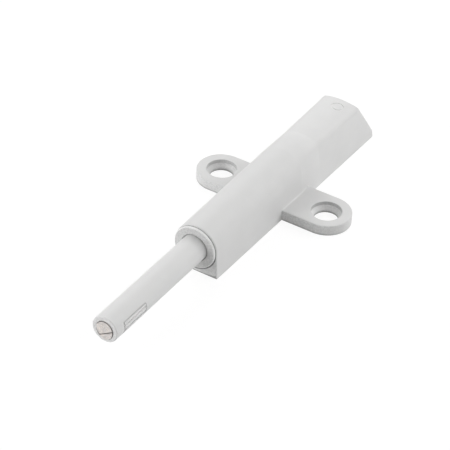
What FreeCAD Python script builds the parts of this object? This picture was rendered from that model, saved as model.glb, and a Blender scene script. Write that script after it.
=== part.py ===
"""A magnetic push latch: a moulded housing with two screw ears and a sprung plunger.

The frame has +X to the right ear, -Y towards the magnet and +Z up.  Its origin lies midway
between the ears' screw holes, on the face that is screwed to the cabinet.  All lengths are
in millimetres and all angles in degrees.
"""

import FreeCAD, Part
import math
import os
import re

import Sketcher

# Driving sizes: name, value, meaning
SIZES = {
    "axis_height": (7.7, "height of the plunger's axis over the base"),
    "front_length": (37.0, "ear holes to the mouth of the housing"),
    "rear_length": (40.9, "ear holes to the rear end of the base"),
    "base_half_front": (6.33, "half the width of the base at the mouth"),
    "base_draft": (0.013, "half width gained per millimetre towards the rear"),
    "arch_r_front": (6.12, "radius of the round roof at the mouth"),
    "arch_draft": (0.0075, "roof radius gained per millimetre towards the rear"),
    "arch_end": (3.0, "ear holes to where the round roof starts to flatten"),
    "facet_start": (13.0, "ear holes to where the rear roof is fully faceted"),
    "shoulder_half": (5.07, "half the distance between the rear roof's corners, at their start"),
    "shoulder_draft": (0.02, "that half distance gained per millimetre"),
    "shoulder_height": (11.7, "height of the rear roof's corners"),
    "shoulder_round": (1.6, "radius that softens those corners"),
    "crown_rise": (1.5, "how far the rear roof's middle rises over its corners"),
    "shoulder_angle": (36.5, "where on the round roof the corners fade out"),
    "end_angle": (32.0, "slant of the rear end face from upright"),
    "base_skim": (1.0, "extra depth under the base, which is cut off level"),
    "end_toe": (0.6, "height of the upright foot under the slanted end face"),
    "end_round": (0.45, "rounding round the slanted end face"),
    "foot_round": (1.5, "rounding of the foot's two upright edges"),
    "mouth_round": (0.45, "rounding round the mouth end"),
    "mark_r": (1.75, "radius of the round mould mark on the rear roof"),
    "mark_width": (0.5, "width of its groove"),
    "mark_depth": (0.1, "depth of its groove under the roof"),
    "mark_across": (1.3, "mark's offset to the right"),
    "mark_back": (29.3, "ear holes to the mark"),
    "ear_spacing": (32.0, "distance between the two screw holes"),
    "ear_half_width": (6.66, "half the width of an ear, and the radius of its end"),
    "ear_thickness": (2.9, "thickness of an ear"),
    "ear_edge": (0.3, "rounding of an ear's upper edge"),
    "ear_root": (0.35, "rounding where an ear meets the housing"),
    "screw_r": (3.25, "radius of the screw hole"),
    "head_r": (4.0, "radius of the recess for the screw's head"),
    "head_depth": (1.2, "depth of that recess"),
    "head_cone": (0.9, "depth of the cone under it"),
    "head_rim": (0.2, "rounding of the recess's rim"),
    "bore_r": (4.8, "radius of the housing's bore"),
    "bore_end_room": (10.9, "bottom of the bore to the rear end of the base"),
    "seat_gap": (0.05, "gap between pieces that seat on each other"),
    "tube_wall": (0.6, "wall of the cartridge tube"),
    "flange_r": (5.9, "radius of the tube's flange"),
    "flange_thickness": (0.7, "how far the flange stands in front of the housing"),
    "flange_round": (0.28, "rounding of the flange's outer edge"),
    "flange_gap": (0.2, "seam between the flange and the housing's mouth"),
    "guide_length": (6.0, "length of the tube's front guide"),
    "guide_gap": (0.1, "radial gap between the plunger and its front guide"),
    "running_gap": (0.05, "radial gap of a running fit"),
    "plunger_r": (3.59, "radius of the plunger"),
    "plunger_out": (38.6, "how far the plunger stands out of the housing"),
    "tip_round": (0.3, "rounding of the plunger's front edge"),
    "mouth_bevel": (0.12, "bevel of the guide's mouth round the plunger"),
    "stroke": (37.0, "travel of the plunger"),
    "tail_length": (14.5, "length of the thicker rear end of the plunger"),
    "buffer_thickness": (1.0, "thickness of the stop buffer"),
    "buffer_wall": (0.42, "radial wall of the stop buffer"),
    "rod_r": (1.3, "radius of the guide rod"),
    "rod_gap": (0.1, "radial gap between the guide rod and the plunger"),
    "rod_in": (4.0, "how far the rod reaches into the plunger that is out"),
    "rod_seat": (1.5, "how deep the rod sits in the end plug"),
    "rod_bottom": (3.0, "room left in front of the rod when the plunger is in"),
    "rod_point": (0.5, "bevel on the rod's front end"),
    "spring_mean_r": (1.75, "radius of the spring, to the middle of its wire"),
    "spring_wire": (0.35, "diameter of the spring's wire"),
    "spring_turns": (13.0, "turns of the spring"),
    "spring_gap": (0.3, "gap between the spring and the plug round it"),
    "plug_length": (8.0, "length of the end plug"),
    "plug_floor": (2.0, "thickness of the end plug's closed end"),
    "plug_snap_reach": (0.45, "how far a snap nub stands out"),
    "plug_snap_length": (1.6, "length of a snap nub"),
    "plug_snap_width": (1.8, "width of a snap nub"),
    "snap_gap": (0.1, "gap round a snap nub in its window"),
    "pivot_in": (3.0, "distance of the catch's pivot behind the plug's front"),
    "pivot_r": (0.55, "radius of the pivot pin"),
    "pivot_foot": (2.35, "height of the pivot pin's foot over the axis"),
    "pivot_top": (4.0, "height of the pivot pin's head over the axis"),
    "pivot_seat_gap": (0.02, "radial gap of the pin in the plug"),
    "arm_length": (12.5, "pivot to follower of the catch hook"),
    "arm_width": (1.5, "width of the catch hook's arm"),
    "arm_thickness": (0.55, "thickness of the arm"),
    "arm_height": (2.9, "height of the arm's underside over the axis"),
    "arm_eye_r": (1.2, "radius of the arm's eye"),
    "arm_slot_gap": (0.15, "gap over and under the arm"),
    "follower_r": (0.45, "radius of the catch hook's follower"),
    "follower_gap": (0.1, "gap between the follower and the cam's floor and walls"),
    "cam_floor": (2.0, "height of the cam's floor over the axis"),
    "cam_island": (1.4, "width of the heart-shaped island"),
    "cam_island_length": (4.8, "length of the island"),
    "cam_mouth": (2.2, "distance of the island's point from the plunger's rear end"),
    "cam_notch": (0.85, "depth of the island's notch"),
    "cam_length": (9.5, "length of the cam track"),
    "arm_overrun": (1.6, "flat on the tail past the cam track"),
    "key_width": (1.0, "width of the key under the plunger's tail"),
    "key_height": (0.28, "height of the key"),
    "key_gap": (0.08, "gap round the key"),
    "pocket_r": (2.36, "radius of the magnet's pocket"),
    "pocket_depth": (12.5, "depth of the magnet's pocket"),
    "magnet_gap": (0.13, "gap between the magnet and its pocket"),
    "magnet_stand": (0.15, "how far the magnet and its pole plate stand out of the tip"),
    "plate_drop": (0.45, "how far the pole plate's rounding is centred under the axis"),
    "split_offset": (0.905, "distance of the magnet's flat from the axis"),
    "split_gap": (0.15, "gap between the magnet and the pole plate"),
    "split_angle": (58.1, "how far the pole plate lies below level, seen from the tip"),
    "window_width": (3.1, "width of the snap window in the plunger's side"),
    "window_start": (3.0, "plunger's tip to the front of the window"),
    "window_length": (9.2, "length of the window"),
    "tongue_gap": (0.12, "gap between the snap tongue and its window, at the sides and behind"),
    "tongue_nose_gap": (0.4, "gap in front of the snap tongue"),
    "tongue_sink": (0.05, "how far the tongue lies under the plunger's surface"),
    "tongue_groove": (0.36, "width of a groove along the tongue"),
    "tongue_groove_depth": (0.28, "depth of a groove along the tongue"),
    "tongue_rib": (0.92, "width of the rib between the tongue's two grooves"),
    "clip_disc": (1.9, "thickness of the magnet clip's disc"),
}

# Places worked out from the sizes
PLACES = {
    "crown_height": "shoulder_height + crown_rise",
    "mark_half": "shoulder_half + shoulder_draft * (mark_back - facet_start)",
    "mark_crown_r": "(mark_half^2 + crown_rise^2) / (2 * crown_rise)",
    "bore_rear": "rear_length - bore_end_room",
    "bore_length": "front_length + bore_rear",
    "arch_r_end": "arch_r_front + arch_draft * (front_length + arch_end)",
    "base_half_arch": "base_half_front + base_draft * (front_length + arch_end)",
    "base_half_facet": "base_half_front + base_draft * (front_length + facet_start)",
    "base_half_rear": "base_half_front + base_draft * (front_length + rear_length)",
    "rear_round": "min(foot_round; shoulder_round)",
    "shoulder_half_rear": "shoulder_half + shoulder_draft * (rear_length - facet_start)",
    "tube_r": "bore_r - seat_gap",
    "tube_bore_r": "tube_r - tube_wall",
    "guide_r": "plunger_r + guide_gap",
    "face_y": "-front_length",
    "flange_y": "-front_length - flange_thickness",
    "guide_end_y": "flange_y + guide_length",
    "tube_end_y": "bore_rear - seat_gap",
    "tip_y": "-front_length - plunger_out",
    "buffer_y": "guide_end_y + seat_gap",
    "tail_y": "buffer_y + buffer_thickness + seat_gap",
    "tail_end_y": "tail_y + tail_length",
    "tail_r": "tube_bore_r - running_gap",
    "buffer_r": "tube_bore_r - seat_gap",
    "key_r": "tail_r + key_height",
    "plug_y": "tube_end_y - plug_length",
    "plug_floor_y": "tube_end_y - plug_floor",
    "plug_cavity_r": "spring_mean_r + spring_wire / 2 + spring_gap",
    "rod_bore_r": "rod_r + rod_gap",
    "rod_front_y": "tail_end_y - rod_in",
    "rod_back_y": "plug_floor_y + rod_seat",
    "rod_bore_y": "rod_front_y - stroke - rod_bottom",
    "pivot_y": "plug_y + pivot_in",
    "lane_half": "(cam_island + lane_width) / 2",
    "lane_width": "2 * (follower_r + follower_gap)",
    "cam_half": "cam_island / 2 + lane_width",
    "cam_top": "arm_height - arm_slot_gap",
    "swing_rest": "asin(lane_half / arm_length)",
    "magnet_r": "pocket_r - magnet_gap",
    "magnet_y": "tip_y - magnet_stand",
    "window_y": "tip_y + window_start",
    "pocket_end_y": "tip_y + pocket_depth",
    "clip_end_y": "window_y + window_length - tongue_gap",
    "clip_y": "clip_end_y - clip_disc",
    "tongue_y": "window_y + tongue_nose_gap",
    "tongue_r": "plunger_r - tongue_sink",
    "tongue_inner_r": "pocket_r + plate_drop / 2 + magnet_gap",
}

# Lengths closer than this count as the same, when edges are picked
SAME = 0.01

# How far a cutting shape runs past the face that it opens
PAST = "1"

ROLES = {"top": "XY_Plane", "front": "XZ_Plane", "side": "YZ_Plane"}

doc = FreeCAD.newDocument("push_latch")
sheet = doc.addObject("Spreadsheet::Sheet", "Sizes")


def fill_sheet():
    """Write every driving size into the sheet, with its name as the cell's alias."""
    for row, (name, (size, meaning)) in enumerate(SIZES.items(), start=1):
        sheet.set(f"A{row}", name)
        sheet.set(f"B{row}", str(size))
        sheet.set(f"C{row}", meaning)
        sheet.setAlias(f"B{row}", name)
    doc.recompute()


def full(text):
    """Write out a formula: places become their own formulas, and sizes become cells."""

    def word(match):
        name = match.group(0)
        if name in PLACES:
            return "(" + full(PLACES[name]) + ")"
        if name in SIZES:
            return "Sizes." + name
        return name

    return re.sub(r"[a-z][a-z_0-9]*", word, text)


def value(text):
    """Work out a formula as a plain number."""
    found = sheet.evalExpression(full(text))
    return float(getattr(found, "Value", found))


def bind(target, path, text):
    """Tie one property of an object to a formula."""
    target.setExpression(path, full(text))


# Sketching
def new_body(name, along="0", up="0"):
    """Start a body; along and up move its origin along Y and Z."""
    body = doc.addObject("PartDesign::Body", name)
    body.Label = name
    bind(body, "Placement.Base.y", along)
    bind(body, "Placement.Base.z", up)
    return body


def new_sketch(body, name, view, lift="0", across="0"):
    """Put a sketch on one of the body's planes, lifted along the plane's normal."""
    role = ROLES[view]
    plane = next(item for item in body.Origin.OriginFeatures if item.Role == role)
    sketch = body.newObject("Sketcher::SketchObject", name)
    sketch.AttachmentSupport = (plane, [""])
    sketch.MapMode = "FlatFace"
    bind(sketch, "AttachmentOffset.Base.z", lift)
    bind(sketch, "AttachmentOffset.Base.x", across)
    return sketch


def hold(sketch, geometry, end, text, upright):
    """Fix one coordinate of a point: on the axis for zero, or at a formula's distance."""
    if text == "0":
        axis = -1 if upright else -2
        sketch.addConstraint(Sketcher.Constraint("PointOnObject", geometry, end, axis))
        return
    kind = "DistanceY" if upright else "DistanceX"
    index = sketch.addConstraint(Sketcher.Constraint(kind, geometry, end, value(text)))
    bind(sketch, f"Constraints[{index}]", text)


def arc_between(start, end, radius):
    """Make the shorter arc that runs counter-clockwise from start to end."""
    middle = (start + end) * 0.5
    chord = end - start
    rise = math.sqrt(max(radius**2 - (chord.Length / 2) ** 2, 0.0))
    left = FreeCAD.Vector(-chord.y, chord.x, 0).normalize()
    centre = middle + left * rise
    from_angle = math.atan2(start.y - centre.y, start.x - centre.x)
    to_angle = math.atan2(end.y - centre.y, end.x - centre.x)
    circle = Part.Circle(centre, FreeCAD.Vector(0, 0, 1), radius)
    return Part.ArcOfCircle(circle, from_angle, to_angle)


def outline(sketch, corners, arcs=None):
    """Close an outline through corners, drawn counter-clockwise.

    arcs names the radius of each rounded edge by the edge's number: a plain formula for an
    edge that bulges outwards, and one in square brackets for an edge that is hollow.
    """
    arcs = arcs or {}
    points = [FreeCAD.Vector(value(x), value(y), 0) for x, y in corners]
    ends = []
    for number, start in enumerate(points):
        end = points[(number + 1) % len(points)]
        radius = arcs.get(number)
        if radius is None:
            sketch.addGeometry(Part.LineSegment(start, end), False)
            ends.append((1, 2))
        elif radius.startswith("["):
            sketch.addGeometry(arc_between(end, start, value(radius.strip("[]"))), False)
            ends.append((2, 1))
        else:
            sketch.addGeometry(arc_between(start, end, value(radius)), False)
            ends.append((1, 2))
    for number, (x, y) in enumerate(corners):
        before = number - 1 if number else len(corners) - 1
        join = Sketcher.Constraint("Coincident", before, ends[before][1], number, ends[number][0])
        sketch.addConstraint(join)
        hold(sketch, number, ends[number][0], x, upright=False)
        hold(sketch, number, ends[number][0], y, upright=True)
    for number, radius in arcs.items():
        size = radius.strip("[]")
        index = sketch.addConstraint(Sketcher.Constraint("Radius", number, value(size)))
        bind(sketch, f"Constraints[{index}]", size)


def circle(sketch, radius, x="0", y="0"):
    """Add a circle whose centre and radius are formulas."""
    centre = FreeCAD.Vector(value(x), value(y), 0)
    number = sketch.addGeometry(Part.Circle(centre, FreeCAD.Vector(0, 0, 1), value(radius)), False)
    hold(sketch, number, 3, x, upright=False)
    hold(sketch, number, 3, y, upright=True)
    index = sketch.addConstraint(Sketcher.Constraint("Radius", number, value(radius)))
    bind(sketch, f"Constraints[{index}]", radius)


def box_outline(sketch, left, right, low, high):
    """Draw a rectangle from its four sides."""
    outline(sketch, [(left, low), (right, low), (right, high), (left, high)])


# Features
def extrude(body, kind, name, sketch, length, reverse=False, both=False):
    """Pad or pocket a sketch by a formula's length."""
    feature = body.newObject("PartDesign::" + kind, name)
    feature.Profile = sketch
    bind(feature, "Length", length)
    feature.Reversed = reverse
    feature.Midplane = both
    doc.recompute()
    return feature


def turn(body, kind, name, sketch):
    """Revolve or groove a sketch all the way round its upright axis."""
    feature = body.newObject("PartDesign::" + kind, name)
    feature.Profile = sketch
    feature.ReferenceAxis = (sketch, ["V_Axis"])
    feature.Angle = 360.0
    doc.recompute()
    return feature


def mirror(body, name, feature, role="YZ_Plane"):
    """Repeat a feature on the other side of one of the body's planes."""
    plane = next(item for item in body.Origin.OriginFeatures if item.Role == role)
    copy = body.newObject("PartDesign::Mirrored", name)
    copy.Originals = [feature]
    copy.MirrorPlane = (plane, [""])
    body.Tip = copy
    doc.recompute()
    return copy


def edges_where(feature, test):
    """Name the edges of a feature that pass a test."""
    edges = enumerate(feature.Shape.Edges, start=1)
    return [f"Edge{number}" for number, edge in edges if test(edge)]


def soften(body, name, feature, test, radius, kind="Fillet"):
    """Round or bevel the edges of a feature that pass a test."""
    edge = body.newObject("PartDesign::" + kind, name)
    edge.Base = (feature, edges_where(feature, test))
    bind(edge, "Radius" if kind == "Fillet" else "Size", radius)
    doc.recompute()
    return edge


# Solids
def cylinder(name, radius, start, length, height="axis_height"):
    """Lay a cylinder along Y at a height, from start towards the rear."""
    rod = doc.addObject("Part::Cylinder", name)
    bind(rod, "Radius", radius)
    bind(rod, "Height", length)
    rod.Placement.Rotation = FreeCAD.Rotation(FreeCAD.Vector(1, 0, 0), -90)
    bind(rod, "Placement.Base.y", start)
    bind(rod, "Placement.Base.z", height)
    return rod


def post(name, radius, across, along):
    """Stand a cylinder on the base, taller than the housing."""
    upright = doc.addObject("Part::Cylinder", name)
    bind(upright, "Radius", radius)
    bind(upright, "Height", "2 * crown_height")
    bind(upright, "Placement.Base.x", across)
    bind(upright, "Placement.Base.y", along)
    return upright


def block(name, low, size):
    """Place a box by its lowest corner and its three sides."""
    brick = doc.addObject("Part::Box", name)
    for axis, text in zip("xyz", low):
        bind(brick, "Placement.Base." + axis, text)
    for side, text in zip(("Length", "Width", "Height"), size):
        bind(brick, side, text)
    return brick


def combine(kind, name, base, tool):
    """Join, cut or intersect two shapes."""
    result = doc.addObject("Part::" + kind, name)
    result.Base = base
    result.Tool = tool
    return result


# Housing
def arch_section(sketch, base_half, radius):
    """Draw the front section: flat base, straight sides and a round roof."""
    reach = f"acos({radius} / sqrt({base_half}^2 + axis_height^2))"
    lean = f"({reach} - atan2(axis_height; {base_half}))"
    half_step = "shoulder_round / 2 / arch_r_front * 180 / pi"
    angles = [lean, f"(shoulder_angle - {half_step})", f"(shoulder_angle + {half_step})"]
    right = [(f"{radius} * cos({a})", f"axis_height + {radius} * sin({a})") for a in angles]
    foot = f"({base_half} + base_skim * tan({lean}))"
    section_outline(sketch, foot, right, dict.fromkeys(range(2, 7), radius))


def facet_section(sketch, base_half, half):
    """Draw the rear section: flat base, flat sloping sides, soft corners and a low crown."""
    side = f"(({base_half} - {half}) / shoulder_height)"
    crown = f"(({half}^2 + crown_rise^2) / (2 * crown_rise))"
    dip = f"asin({half} / {crown})"
    lean = f"atan({side})"
    reach = f"(shoulder_round * tan((90 deg - {dip} - {lean}) / 2))"
    right = [
        (f"{base_half} - axis_height * {side}", "axis_height"),
        (f"{half} + {reach} * sin({lean})", f"shoulder_height - {reach} * cos({lean})"),
        (f"{half} - {reach} * cos({dip})", f"shoulder_height + {reach} * sin({dip})"),
    ]
    foot = f"({base_half} + base_skim * {side})"
    section_outline(sketch, foot, right, {3: "shoulder_round", 4: crown, 5: "shoulder_round"})


def section_outline(sketch, foot, right, arcs):
    """Close a section of the housing from its foot and the points up its right side."""
    left = [("-(" + x + ")", z) for x, z in reversed(right)]
    corners = [("-" + foot, "-base_skim"), (foot, "-base_skim")] + right + left
    outline(sketch, corners, arcs)


def build_housing():
    """Loft the housing, cut its slanted end, add the ears, their holes and the bore."""
    body = new_body("housing_body")
    stations = [
        ("mouth", "front_length", arch_section, "base_half_front", "arch_r_front"),
        ("arch", "-arch_end", arch_section, "base_half_arch", "arch_r_end"),
        ("facet", "-facet_start", facet_section, "base_half_facet", "shoulder_half"),
        ("rear", "-rear_length", facet_section, "base_half_rear", "shoulder_half_rear"),
    ]
    sections = []
    for name, lift, draw, base_half, size in stations:
        sketch = new_sketch(body, "section_" + name, "front", lift)
        draw(sketch, base_half, size)
        sections.append(sketch)
    doc.recompute()
    shell = body.newObject("PartDesign::AdditiveLoft", "shell")
    shell.Profile = sections[0]
    shell.Sections = sections[1:]
    shell.Ruled = True
    doc.recompute()

    level = new_sketch(body, "base_plan", "top")
    box_outline(level, "-2 * bore_length", "2 * bore_length", "-2 * bore_length", "2 * bore_length")
    based = extrude(body, "Pocket", "level_base", level, "2 * base_skim")
    mouth = soften(body, "mouth_edge", based, is_mouth_edge, "mouth_round")
    soften(body, "rear_edge", mouth, is_rear_edge, "rear_round")

    cut = new_sketch(body, "end_cut", "side")
    top = f"(crown_height + {PAST})"
    run = f"({top} - end_toe) * tan(end_angle)"
    outline(
        cut,
        [
            ("rear_length", "end_toe"),
            (f"rear_length + {PAST}", "end_toe"),
            (f"rear_length + {PAST}", top),
            ("rear_length - " + run, top),
        ],
    )
    raked = extrude(body, "Pocket", "raked_end", cut, "4 * base_half_rear", both=True)
    soften(body, "end_edge", raked, is_end_edge, "end_round")

    ears = new_sketch(body, "ear_plan", "top")
    reach = "(ear_spacing / 2 + ear_half_width)"
    outline(
        ears,
        [
            ("-ear_spacing / 2", "-ear_half_width"),
            ("ear_spacing / 2", "-ear_half_width"),
            (reach, "0"),
            ("ear_spacing / 2", "ear_half_width"),
            ("-ear_spacing / 2", "ear_half_width"),
            ("-" + reach, "0"),
        ],
        dict.fromkeys((1, 2, 4, 5), "ear_half_width"),
    )
    plate = extrude(body, "Pad", "ears", ears, "ear_thickness")
    root = soften(body, "ear_roots", plate, is_ear_root, "ear_root")
    soften(body, "ear_edges", root, is_ear_edge, "ear_edge")

    hole = new_sketch(body, "screw_hole_section", "front", across="ear_spacing / 2")
    floor = "(ear_thickness - head_depth)"
    outline(
        hole,
        [
            ("0", f"-{PAST}"),
            ("screw_r", f"-{PAST}"),
            ("screw_r", floor + " - head_cone"),
            ("head_r", floor),
            ("head_r", "ear_thickness - head_rim"),
            ("head_r + head_rim", "ear_thickness"),
            ("head_r + head_rim", f"ear_thickness + {PAST}"),
            ("0", f"ear_thickness + {PAST}"),
        ],
        {4: "[head_rim]"},
    )
    screw_hole = turn(body, "Groove", "screw_hole", hole)
    mirror(body, "screw_holes", screw_hole)

    bore = new_sketch(body, "bore_section", "front", lift="front_length")
    circle(bore, "bore_r", "0", "axis_height")
    extrude(body, "Pocket", "bore", bore, "bore_length")

    housing = combine("Cut", "housing", body, build_mark())
    housing.Label = "housing"
    return housing


def build_mark():
    """Make the cutter of the mould mark: a ring whose underside follows the roof's crown."""
    outer = post("mark_outer", "mark_r", "mark_across", "mark_back")
    inner = post("mark_inner", "mark_r - mark_width", "mark_across", "mark_back")
    ring = combine("Cut", "mark_ring", outer, inner)
    centre = "crown_height - mark_crown_r"
    crown = cylinder("mark_crown", "mark_crown_r - mark_depth", "0", "rear_length", centre)
    return combine("Cut", "mark_cutter", ring, crown)


def is_mouth_edge(edge):
    """True for the edges round the housing's mouth end."""
    box = edge.BoundBox
    return box.YLength < SAME and abs(box.YMin + value("front_length")) < SAME


def is_rear_edge(edge):
    """True for the edges at the sides and over the top of the rear end, before it is slanted."""
    ends = [vertex.Point for vertex in edge.Vertexes]
    rear = all(abs(point.y - value("rear_length")) < SAME for point in ends)
    return rear and max(point.z for point in ends) > SAME


def is_end_edge(edge):
    """True for the edges all round the slanted rear end face."""
    points = [vertex.Point for vertex in edge.Vertexes]
    points.append(edge.valueAt((edge.FirstParameter + edge.LastParameter) / 2))
    slope = math.tan(math.radians(value("end_angle")))
    planes = [value("rear_length") - (point.z - value("end_toe")) * slope for point in points]
    return all(abs(point.y - plane) < SAME for point, plane in zip(points, planes))


def is_ear_root(edge):
    """True for the line where an ear's upper face meets the housing's side."""
    box = edge.BoundBox
    flat = abs(box.ZMin - value("ear_thickness")) < SAME and box.ZLength < SAME
    near = abs(box.XMin) < value("base_half_rear") and abs(box.XMax) < value("base_half_rear")
    return flat and near and box.YLength > value("ear_half_width") / 2


def is_ear_edge(edge):
    """True for the upper rim of an ear, away from the housing."""
    box = edge.BoundBox
    flat = abs(box.ZMin - value("ear_thickness")) < SAME and box.ZLength < SAME
    return flat and max(abs(box.XMin), abs(box.XMax)) > value("ear_spacing") / 2 - SAME


# Cartridge
def build_tube():
    """Turn the cartridge tube: flange, guide for the plunger and a long thin bore."""
    body = new_body("cartridge_tube", up="axis_height")
    sketch = new_sketch(body, "tube_section", "top")
    outline(
        sketch,
        [
            ("guide_r + mouth_bevel", "flange_y"),
            ("flange_r - flange_round", "flange_y"),
            ("flange_r", "flange_y + flange_round"),
            ("flange_r", "face_y - flange_gap"),
            ("tube_r", "face_y - flange_gap"),
            ("tube_r", "tube_end_y"),
            ("tube_bore_r", "tube_end_y"),
            ("tube_bore_r", "guide_end_y"),
            ("guide_r", "guide_end_y"),
            ("guide_r", "flange_y + mouth_bevel"),
        ],
        {1: "flange_round"},
    )
    turn(body, "Revolution", "tube", sketch)

    keyway = new_sketch(body, "keyway_plan", "front", lift="-tube_end_y")
    half = "(key_width / 2 + key_gap)"
    box_outline(keyway, "-" + half, half, "-(key_r + key_gap)", "-tube_bore_r / 2")
    extrude(body, "Pocket", "keyway", keyway, "tube_end_y - tail_y + seat_gap", reverse=True)

    window = new_sketch(body, "snap_window_plan", "side")
    long_half = "(plug_snap_length / 2 + snap_gap)"
    wide_half = "(plug_snap_width / 2 + snap_gap)"
    front = f"plug_floor_y - {long_half}"
    back = f"plug_floor_y + {long_half}"
    box_outline(window, front, back, "-" + wide_half, wide_half)
    extrude(body, "Pocket", "snap_windows", window, "3 * tube_r", both=True)
    return body


def build_end_plug():
    """Make the plug that closes the tube and carries the spring, the rod and the catch."""
    body = new_body("end_plug", up="axis_height")
    disc = new_sketch(body, "plug_section", "front", lift="-tube_end_y")
    circle(disc, "buffer_r")
    extrude(body, "Pad", "plug", disc, "plug_length")

    nub = new_sketch(body, "snap_nub_plan", "side")
    long_half = "(plug_snap_length / 2)"
    wide_half = "(plug_snap_width / 2)"
    front = f"plug_floor_y - {long_half}"
    back = f"plug_floor_y + {long_half}"
    box_outline(nub, front, back, "-" + wide_half, wide_half)
    extrude(body, "Pad", "snap_nubs", nub, "2 * (buffer_r + plug_snap_reach)", both=True)

    cavity = new_sketch(body, "spring_seat_section", "front", lift="-plug_y")
    circle(cavity, "plug_cavity_r")
    extrude(body, "Pocket", "spring_seat", cavity, "plug_length - plug_floor")

    socket = new_sketch(body, "rod_socket_section", "front", lift="-plug_floor_y")
    circle(socket, "rod_r + pivot_seat_gap")
    extrude(body, "Pocket", "rod_socket", socket, "rod_seat + seat_gap")

    slot = new_sketch(body, "arm_slot_section", "front", lift="-plug_y")
    low = "(arm_height - arm_slot_gap)"
    high = "(arm_height + arm_thickness + arm_slot_gap)"
    box_outline(slot, "-2 * buffer_r", "2 * buffer_r", low, high)
    extrude(body, "Pocket", "arm_slot", slot, "pivot_in + arm_eye_r + 4 * arm_slot_gap")

    hole = new_sketch(body, "pivot_hole_plan", "top")
    circle(hole, "pivot_r + pivot_seat_gap", "0", "pivot_y")
    extrude(body, "Pocket", "pivot_hole", hole, "2 * tube_r", reverse=True)
    return body


def build_guide_rod():
    """Turn the rod that keeps the spring straight."""
    body = new_body("guide_rod", up="axis_height")
    sketch = new_sketch(body, "rod_section", "top")
    outline(
        sketch,
        [
            ("0", "rod_front_y"),
            ("rod_r - rod_point", "rod_front_y"),
            ("rod_r", "rod_front_y + rod_point"),
            ("rod_r", "rod_back_y"),
            ("0", "rod_back_y"),
        ],
    )
    turn(body, "Revolution", "rod", sketch)
    return body


def build_spring():
    """Wind the long spring that drives the plunger out."""
    body = new_body("drive_spring", up="axis_height")
    start = "(tail_end_y + seat_gap + spring_wire / 2)"
    sketch = new_sketch(body, "wire_section", "top")
    circle(sketch, "spring_wire / 2", "spring_mean_r", start)
    helix = body.newObject("PartDesign::AdditiveHelix", "coil")
    helix.Profile = sketch
    helix.ReferenceAxis = (sketch, ["V_Axis"])
    helix.Mode = "height-turns-angle"
    bind(helix, "Turns", "spring_turns")
    bind(helix, "Height", f"plug_floor_y - seat_gap - spring_wire / 2 - {start}")
    doc.recompute()
    return body


def build_buffer():
    """Turn the soft ring that the plunger's shoulder stops on."""
    body = new_body("stop_buffer", along="buffer_y", up="axis_height")
    sketch = new_sketch(body, "buffer_section", "top")
    box_outline(sketch, "buffer_r - buffer_wall", "buffer_r", "0", "buffer_thickness")
    turn(body, "Revolution", "ring", sketch)
    return body


# Catch
def build_pin():
    """Make the catch hook's pivot pin."""
    body = new_body("hook_pin", along="pivot_y", up="axis_height")
    sketch = new_sketch(body, "pin_section", "top", lift="pivot_foot")
    circle(sketch, "pivot_r")
    extrude(body, "Pad", "pin", sketch, "pivot_top - pivot_foot")
    return body


def build_hook():
    """Make the catch hook: a flat arm with an eye at one end and a follower at the other."""
    body = new_body("catch_hook", along="pivot_y", up="axis_height + arm_height")
    plan = new_sketch(body, "arm_plan", "top")
    root = "sqrt(arm_eye_r^2 - arm_width^2 / 4)"
    tip = "(arm_length + arm_width / 2)"
    outline(
        plan,
        [
            ("-arm_width / 2", "-arm_length"),
            ("0", "-" + tip),
            ("arm_width / 2", "-arm_length"),
            ("arm_width / 2", "-" + root),
            ("arm_eye_r", "0"),
            ("0", "arm_eye_r"),
            ("-arm_eye_r", "0"),
            ("-arm_width / 2", "-" + root),
        ],
        dict.fromkeys((0, 1), "arm_width / 2") | dict.fromkeys((3, 4, 5, 6), "arm_eye_r"),
    )
    extrude(body, "Pad", "arm", plan, "arm_thickness")

    eye = new_sketch(body, "eye_plan", "top")
    circle(eye, "pivot_r + running_gap")
    extrude(body, "Pocket", "eye", eye, "arm_thickness", reverse=True)

    pin = new_sketch(body, "follower_plan", "top")
    circle(pin, "follower_r", "0", "-arm_length")
    extrude(body, "Pad", "follower", pin, "arm_height - cam_floor - follower_gap", reverse=True)
    body.Placement.Rotation = FreeCAD.Rotation(FreeCAD.Vector(0, 0, 1), value("swing_rest"))
    bind(body, "Placement.Rotation.Angle", "swing_rest")
    return body


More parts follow.
